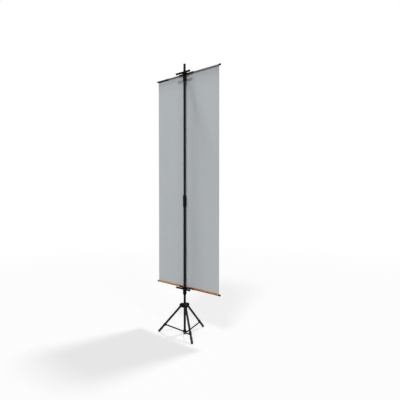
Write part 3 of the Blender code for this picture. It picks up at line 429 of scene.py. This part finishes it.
def weave(g):
    """Place on the flat cloth, clouds, slubs, and the grain of the colour and the height of the weave."""
    flat = g.node("ShaderNodeAttribute", attribute_name=FLAT_PLACE).outputs["Vector"]
    threads = []
    for axis, width in THREAD_WIDTHS.items():
        turns = g.math("MULTIPLY", g.along(axis, flat), math.pi / width)
        threads.append(g.math("SINE", turns))
    crossing = g.math("MULTIPLY", *threads)
    slubs = g.noise(at=flat, **CLOTH_SLUBS)
    clouds = g.span(g.noise(at=flat, **CLOTH_CLOUDS), *NOISE_WIDE)
    crossing_part = g.math("MULTIPLY", crossing, CROSSING_SHARE)
    grain = g.math("ADD", crossing_part, g.math("MULTIPLY", slubs, SLUB_SHARE))
    height = g.math("ADD", crossing, slubs)
    return flat, clouds, slubs, grain, height


def cloth_back():
    """Unprinted grey back of the cloth, with painted shade down its side edges, over the width of the hems.
    """
    g = Finish("cloth_back")
    flat, clouds, slubs, grain, height = weave(g)
    colour = g.mix(clouds, BACK, BACK_CLOUD)
    colour = g.mix(g.span(grain, *BACK_GRAIN_SPAN), colour, BACK_GAPS)
    # Painted shade: the grey darkens towards both side edges, over the width of the hems.
    side = g.math("ABSOLUTE", g.along("X", flat))
    edge_shade = g.span(side, half_width - HEM_WIDTH, half_width, 0.0, BACK_EDGE_SHADE_SHARE)
    colour = g.mix(edge_shade, colour, BACK_EDGE_SHADE)
    roughness = g.span(slubs, *BACK_ROUGHNESS)
    normal = g.bump(height, BACK_RELIEF)
    return g.finish(colour, roughness, normal, specular=BACK_SPECULAR, sheen=BACK_SHEEN)


def cloth_front():
    """Front of the cloth, which also shows on the pockets: a pale ground between two plain end bands."""
    g = Finish("cloth_front")
    flat, clouds, slubs, grain, height = weave(g)
    across = g.along("X", flat)
    up = g.along("Y", flat)
    ground = g.mix(clouds, FRONT, FRONT_CLOUD)
    warm = g.mix(g.span(across, -half_width, ORANGE_PLACE), OCHRE, ORANGE)
    warm = g.mix(g.span(across, ORANGE_PLACE, half_width), warm, DEEP_ORANGE)
    grey = g.mix(g.span(across, -half_width, half_width), BAND_GREY, BAND_GREY_PALE)
    block_end = DARK_BLOCK_WIDTH - half_width
    block = g.span(across, block_end - BLOCK_EDGE, block_end, *FALLING)
    grey = g.mix(block, grey, DARK_BLOCK)
    low_end = pocket_run + LOW_BAND
    high_start = cloth_length - pocket_run - HIGH_BAND
    low = g.span(up, low_end - BAND_EDGE, low_end, *FALLING)
    high = g.span(up, high_start, high_start + BAND_EDGE)
    printed = g.mix(high, g.mix(low, ground, warm), grey)
    shade = g.span(grain, *FRONT_GRAIN_SPAN)
    colour = g.node("ShaderNodeVectorMath", {0: printed, "Scale": shade}, operation="SCALE").outputs["Vector"]
    roughness = g.span(slubs, *FRONT_ROUGHNESS)
    normal = g.bump(height, FRONT_RELIEF)
    return g.finish(colour, roughness, normal, specular=FRONT_SPECULAR, sheen=FRONT_SHEEN)


def thread_material():
    """Grey sewing thread with its twist."""
    g = Finish("grey_thread")
    twist = g.noise(**THREAD_TWIST)
    colour = g.mix(twist, THREAD, THREAD_PALE)
    roughness = g.span(twist, *THREAD_ROUGHNESS)
    return g.finish(colour, roughness, g.bump(twist, THREAD_RELIEF), sheen=THREAD_SHEEN)


def smooth_finish(name, levels):
    """Modifier nodes that weld a CAD node's facets, divide them into a rounder form that keeps its sharp
    edges, and shade it smooth between those edges."""
    tree = bpy.data.node_groups.new(name, "GeometryNodeTree")
    for way in ("INPUT", "OUTPUT"):
        tree.interface.new_socket("Geometry", in_out=way, socket_type="NodeSocketGeometry")
    g = Graph(tree)

    def step(kind, inputs, **settings):
        """The first output of a new node."""
        return g.node(kind, inputs, **settings).outputs[0]

    start = g.node("NodeGroupInput").outputs[0]
    welded = step("GeometryNodeMergeByDistance", {"Geometry": start, "Distance": WELD_DISTANCE})
    bare = step("GeometryNodeRemoveAttribute", {"Geometry": welded, "Name": "custom_normal"})
    angle = g.node("GeometryNodeInputMeshEdgeAngle").outputs["Unsigned Angle"]
    sharp = step("FunctionNodeCompare", {"A": angle, "B": SHARP_ANGLE}, operation="GREATER_THAN")
    rounder = {"Mesh": bare, "Level": levels, "Edge Crease": sharp}
    divided = step("GeometryNodeSubdivisionSurface", rounder)
    faces = step("GeometryNodeSetShadeSmooth", {"Geometry": divided}, domain="FACE")
    soft = step("GeometryNodeSetShadeSmooth", {"Geometry": faces}, domain="EDGE")
    sharpened = {"Geometry": soft, "Selection": sharp, "Shade Smooth": False}
    edges = step("GeometryNodeSetShadeSmooth", sharpened, domain="EDGE")
    g.node("NodeGroupOutput", {0: edges})
    return tree


def dress_nodes(finishes):
    """Gives each CAD node its smooth shading, and the first material whose prefix its name starts with."""
    smoother = smooth_finish("smooth_finish", 0)
    rounder = smooth_finish("round_finish", ROUNDER_LEVELS)
    for name, obj in nodes.items():
        modifier = obj.modifiers.new("smooth_finish", "NODES")
        modifier.node_group = rounder if name.startswith(ROUNDER_NODES) else smoother
        for prefix, material in finishes:
            if name.startswith(prefix):
                obj.material_slots[0].material = material
                break


def evenly(start, end, count):
    """Values from start to end in that many equal steps."""
    return [start + (end - start) * i / count for i in range(count + 1)]


def new_object(name, vertices, faces, material):
    """A mesh shaded smooth between its sharp edges, in the scene."""
    mesh = bpy.data.meshes.new(name)
    mesh.from_pydata(vertices, [], faces)
    mesh.materials.append(material)
    mesh.shade_smooth()
    mesh.set_sharp_from_angle(angle=SHARP_ANGLE)
    obj = bpy.data.objects.new(name, mesh)
    bpy.context.scene.collection.objects.link(obj)
    return obj


def keep_flat_place(piece, flat):
    """Stores where each point of a piece lies on the flat cloth, for the weave."""
    attribute = piece.data.attributes.new(FLAT_PLACE, "FLOAT_VECTOR", "POINT")
    attribute.data.foreach_set("vector", [value for point in flat for value in point])


def rail_middle(node):
    """Y and Z of the middle of a rail."""
    low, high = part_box(node)
    return (low.y + high.y) / 2, (low.z + high.z) / 2


def cloth_line():
    """Middle line of the cloth in YZ: from the seam behind the bottom rail, round the rail to the front, up
    the panel, over the top rail and down to the seam behind it."""
    radius = rail_radius + CLOTH_SLACK + CLOTH_THICKNESS / 2
    lean = math.acos(radius / POCKET_NECK)
    first = math.pi / 2 + lean
    last = 2 * math.pi + math.pi / 2 - lean
    flap = CLOTH_THICKNESS * FLAP_LAYERS
    sewn = (SEAM_END, (SEAM_END + POCKET_NECK) / 2, POCKET_NECK)
    loop = [(-flap, z) for z in sewn]
    loop += [(radius * math.cos(a), radius * math.sin(a)) for a in evenly(first, last, POCKET_STEPS)]
    loop += [(0.0, z) for z in reversed(sewn)]
    bottom = [(rail_y + y, bottom_z + z) for y, z in loop]
    top = [(rail_y + y, top_z - z) for y, z in reversed(loop)]
    heights = evenly(bottom_z + SEAM_END, top_z - SEAM_END, PANEL_ROWS)
    panel = [(rail_y, z) for z in heights[1:-1]]
    return bottom + panel + top


def ripple(x, z):
    """How far the taut panel stands off its plane: faint upright waves, and side edges that curl forward."""
    height = (z - bottom_z) / (top_z - bottom_z)
    hold = math.sqrt(math.sin(math.pi * height))
    waves = sum(share * math.sin(across * x + up * z + start) for share, across, up, start in RIPPLE_WAVES)
    edge = max(0.0, (abs(x) - (1.0 - EDGE_SHARE) * half_width) / (EDGE_SHARE * half_width))
    return hold * (RIPPLE_DEPTH * waves * (1.0 - EDGE_CALM * edge) + EDGE_CURL * edge**2)


def on_panel(y, z):
    """Whether a point of the cloth's line is on the panel or on the sewn flap behind it."""
    return abs(y - rail_y) < 2 * CLOTH_THICKNESS and bottom_z + POCKET_NECK <= z <= top_z - POCKET_NECK


def make_cloth(material_front, material_back):
    """The banner as one sheet, printed side outwards, with its flat coordinates kept for the weave."""
    columns = evenly(-half_width, half_width, PANEL_COLUMNS)
    vertices = []
    flat = []
    run = 0.0
    for row, (y, z) in enumerate(cloth_points):
        if row:
            run += math.dist(cloth_points[row - 1], (y, z))
        for x in columns:
            lift = ripple(x, z) if on_panel(y, z) else 0.0
            vertices.append((x, y + lift, z))
            flat.append((x, run, 0.0))
    wide = len(columns)
    faces = []
    for row in range(len(cloth_points) - 1):
        for column in range(PANEL_COLUMNS):
            corner = row * wide + column
            faces.append((corner, corner + wide, corner + wide + 1, corner + 1))
    banner = new_object("banner_cloth", vertices, faces, material_front)
    banner.data.materials.append(material_back)
    keep_flat_place(banner, flat)
    solid = banner.modifiers.new("thickness", "SOLIDIFY")
    solid.thickness = CLOTH_THICKNESS
    solid.offset = 0.0
    solid.material_offset = 1
    solid.material_offset_rim = 1
    return banner


def make_hem(side, material):
    """Turned edge of the cloth down one side: a second layer behind the panel with a folded outer edge."""
    inner = half_width - HEM_WIDTH
    outer = half_width
    back = CLOTH_THICKNESS / 2
    deep = back + CLOTH_THICKNESS
    section = [(inner, back), (inner + HEM_FOLD, deep)]
    section += [(outer - HEM_FOLD, deep), (outer, back + HEM_LIP), (outer, back)]
    low = bottom_z + SEAM_END + HEM_END_GAP
    high = top_z - SEAM_END - HEM_END_GAP
    vertices = []
    flat = []
    for z in evenly(low, high, PANEL_ROWS):
        for x, depth in section:
            vertices.append((side * x, rail_y - depth + ripple(side * x, z), z))
            flat.append((side * x, z, 0.0))
    count = len(section)
    faces = []
    for row in range(PANEL_ROWS):
        for i in range(count):
            a = row * count + i
            b = row * count + (i + 1) % count
            faces.append((a, b, b + count, a + count) if side > 0 else (a, a + count, b + count, b))
    low_cap = tuple(range(count))
    high_cap = tuple(PANEL_ROWS * count + i for i in low_cap)
    faces += [low_cap[::-1], high_cap] if side > 0 else [low_cap, high_cap[::-1]]
    hem = new_object("banner_hem_right" if side > 0 else "banner_hem_left", vertices, faces, material)
    keep_flat_place(hem, flat)
    return hem


def stitch_row(vertices, faces, start, end, facing):
    """Adds a row of stitches, each a small lens of thread, along a straight line on the cloth. The row faces
    along Y where facing is 1, and against it where facing is -1."""
    start = Vector(start)
    outward = Vector((0.0, facing, 0.0))
    run = Vector(end) - start
    along = run.normalized()
    across = along.cross(outward)
    corners = []
    for turn in range(STITCH_SIDES):
        angle = math.pi / 4 + turn * math.pi / 2
        reach = across * (math.cos(angle) * STITCH_WIDTH / 2)
        rise = outward * (math.sin(angle) * STITCH_HEIGHT / 2 + STITCH_HEIGHT / 4)
        corners.append((reach, rise))
    for index in range(int(run.length / STITCH_PITCH)):
        middle = start + along * (STITCH_PITCH * (index + 0.5))
        middle.y += ripple(middle.x, middle.z)
        first = len(vertices)
        vertices.append(tuple(middle - along * (STITCH_LENGTH / 2)))
        for side in (-1, 1):
            shoulder = middle + along * (side * STITCH_SHOULDER * STITCH_LENGTH)
            vertices += [tuple(shoulder + reach + rise) for reach, rise in corners]
        vertices.append(tuple(middle + along * (STITCH_LENGTH / 2)))
        last = len(vertices) - 1
        for turn in range(STITCH_SIDES):
            a = first + 1 + turn
            b = first + 1 + (turn + 1) % STITCH_SIDES
            faces += [(first, b, a), (a, b, b + STITCH_SIDES, a + STITCH_SIDES)]
            faces.append((a + STITCH_SIDES, b + STITCH_SIDES, last))


def make_stitching(material):
    """The seams of both pockets and the rows down both hems, seen on either side of the cloth."""
    vertices = []
    faces = []
    front = rail_y + CLOTH_THICKNESS / 2
    flap_back = rail_y - CLOTH_THICKNESS * (FLAP_LAYERS + 0.5)
    hem_back = rail_y - CLOTH_THICKNESS / 2 - CLOTH_THICKNESS
    reach = half_width - SEAM_STITCH_INSET
    for z in (bottom_z + SEAM_STITCH, top_z - SEAM_STITCH):
        for y, facing in ((flap_back, -1), (front, 1)):
            stitch_row(vertices, faces, (-reach, y, z), (reach, y, z), facing)
    low = bottom_z + SEAM_END + HEM_STITCH_GAP
    high = top_z - SEAM_END - HEM_STITCH_GAP
    for side in (-1, 1):
        x = side * (half_width - HEM_STITCH_INSET)
        for y, facing in ((hem_back, -1), (front, 1)):
            stitch_row(vertices, faces, (x, y, low), (x, y, high), facing)
    return new_object("banner_stitching", vertices, faces, material)


def make_banner():
    """The banner's pieces, in a collection of their own for the lamps that light nothing else."""
    together = bpy.data.collections.new("banner_pieces")
    back = cloth_back()
    cloth = make_cloth(cloth_front(), back)
    pieces = [cloth, make_hem(-1, back), make_hem(1, back), make_stitching(thread_material())]
    for piece in pieces:
        together.objects.link(piece)
        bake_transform(piece)
    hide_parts("banner")
    return together


def make_floor():
    """Plain white floor that keeps the object's shadow and fades into the white background."""
    rim = [2 * math.pi * i / FLOOR_SIDES for i in range(FLOOR_SIDES)]
    vertices = [(FLOOR_RADIUS * math.cos(a), FLOOR_RADIUS * math.sin(a), -FLOOR_DROP) for a in rim]
    g = Finish("floor")
    g.tree.nodes.remove(g.tree.nodes["Principled BSDF"])
    distance = g.node("ShaderNodeVectorMath", {0: g.coordinates()}, operation="LENGTH").outputs["Value"]
    fade = g.span(distance, *FLOOR_FADE)
    shade = g.node("ShaderNodeBsdfDiffuse", {"Color": FLOOR_COLOUR}).outputs[0]
    glow = g.node("ShaderNodeEmission", {"Strength": FLOOR_GLOW}).outputs[0]
    lit = g.node("ShaderNodeAddShader", {0: shade, 1: glow}).outputs[0]
    white = g.node("ShaderNodeEmission", {"Strength": 1.0}).outputs[0]
    shown = g.node("ShaderNodeMixShader", {0: fade, 1: lit, 2: white}).outputs[0]
    bounce = g.node("ShaderNodeBsdfDiffuse", {"Color": FLOOR_BOUNCE}).outputs[0]
    both = g.node("ShaderNodeMixShader", {0: g.seen(), 1: bounce, 2: shown}).outputs[0]
    g.feed(g.tree.nodes["Material Output"].inputs["Surface"], both)
    floor = new_object("floor", vertices, [tuple(range(FLOOR_SIDES))], g.material)


def make_world():
    """A plain sky that lights softly, and shows as white."""
    world = bpy.data.worlds.new("studio")
    world.use_nodes = True
    g = Graph(world.node_tree)
    g.tree.nodes.clear()
    sky = g.node("ShaderNodeBackground", {"Color": WHITE, "Strength": SKY_LEVEL}).outputs[0]
    white = g.node("ShaderNodeBackground", {"Color": WHITE}).outputs[0]
    both = g.node("ShaderNodeMixShader", {0: g.seen(), 1: sky, 2: white}).outputs[0]
    g.node("ShaderNodeOutputWorld", {"Surface": both})
    bpy.context.scene.world = world


def new_lamp(name, kind):
    """A lamp in the scene, and its data."""
    data = bpy.data.lights.new(name, kind)
    lamp = bpy.data.objects.new(name, data)
    bpy.context.scene.collection.objects.link(lamp)
    return lamp, data


def make_light(name, azimuth, elevation, level, blur):
    """Lamp far away in that direction. Azimuth is from -Y towards +X."""
    lamp, data = new_lamp(name, "SUN")
    data.energy = level * math.pi
    data.angle = math.radians(blur)
    a = math.radians(azimuth)
    e = math.radians(elevation)
    towards = Vector((math.sin(a) * math.cos(e), -math.cos(a) * math.cos(e), math.sin(e)))
    turn = towards.to_track_quat("Z", "Y").to_matrix().to_4x4()
    lamp.matrix_world = Matrix.Translation(towards * FAR_LIGHT_DISTANCE) @ turn


def make_strip_light(name, place, length, level, receivers):
    """Long strip lamp, high on the -X side and square to the cloth, that grazes the receivers alone."""
    lamp, data = new_lamp(name, "AREA")
    data.shape = "RECTANGLE"
    data.size = length
    data.size_y = STRIP_WIDTH
    towards = Vector(place) - Vector(STRIP_AIM)
    data.energy = level * math.pi**2 * towards.length_squared
    back = Vector((towards.x, 0.0, towards.z)).normalized()
    along = Vector((0.0, 1.0, 0.0))
    turn = Matrix((along, back.cross(along), back)).transposed().to_4x4()
    lamp.matrix_world = Matrix.Translation(place) @ turn
    lamp.light_linking.receiver_collection = receivers


def make_camera():
    """The camera, held level from side to side, between X and -Y and a little above half of the height."""
    data = bpy.data.cameras.new("camera")
    data.lens = LENS_MM
    data.sensor_width = SENSOR_MM
    camera = bpy.data.objects.new("camera", data)
    bpy.context.scene.collection.objects.link(camera)
    camera.location = CAMERA_PLACE
    camera.rotation_euler = (math.pi / 2 + CAMERA_TILT, 0.0, CAMERA_HEADING)
    bpy.context.scene.camera = camera


# Measures of the banner and its rails, from the frame. The pocket's run is the cloth's length from its end
# behind the rail, round the rail and up to the neck in front.
banner_low, banner_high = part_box("banner")
half_width = (banner_high.x - banner_low.x) / 2
rail_low, rail_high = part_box("bottom_rail")
rail_radius = (rail_high.z - rail_low.z) / 2
rail_y, bottom_z = rail_middle("bottom_rail")
top_z = rail_middle("top_rail")[1]
cloth_points = cloth_line()
cloth_length = sum(math.dist(a, b) for a, b in zip(cloth_points, cloth_points[1:]))
pocket_run = cloth_length / 2 - (top_z - bottom_z) / 2 + POCKET_NECK

bpy.context.scene.view_settings.view_transform = "Standard"
make_camera()
make_world()
make_light("key", **KEY_LIGHT)
make_light("back", **BACK_LIGHT)
make_light("side", **SIDE_LIGHT)
make_floor()

plastic = moulded("moulded_plastic", **MATT_MOULDING)
dress_nodes(
    [
        (("hub_rivet", "spider_rivet", "brace_rivet"), rivet_steel()),
        (("bottom_rail_end", "top_rail_end"), moulded("ball_plastic", **GLOSSY_MOULDING)),
        (("bottom_rail", "top_rail"), rail_metal()),
        (("leg_foot", "column_foot"), foot_rubber()),
        ("leg_tube", tube_paint("leg_paint")),
        ("brace_", tube_paint("brace_paint")),
        ("mast_tube", tube_paint("mast_paint")),
        ("column_tube", tube_paint("column_paint", COLUMN_RUB)),
        ("upper_tube_guide", plastic),
        ("upper_tube", tube_paint("upper_tube_paint", UPPER_TUBE_RUB)),
        ("", plastic),
    ]
)
banner_pieces = make_banner()
make_strip_light("low_strip", receivers=banner_pieces, **LOW_STRIP)
make_strip_light("high_strip", receivers=banner_pieces, **HIGH_STRIP)
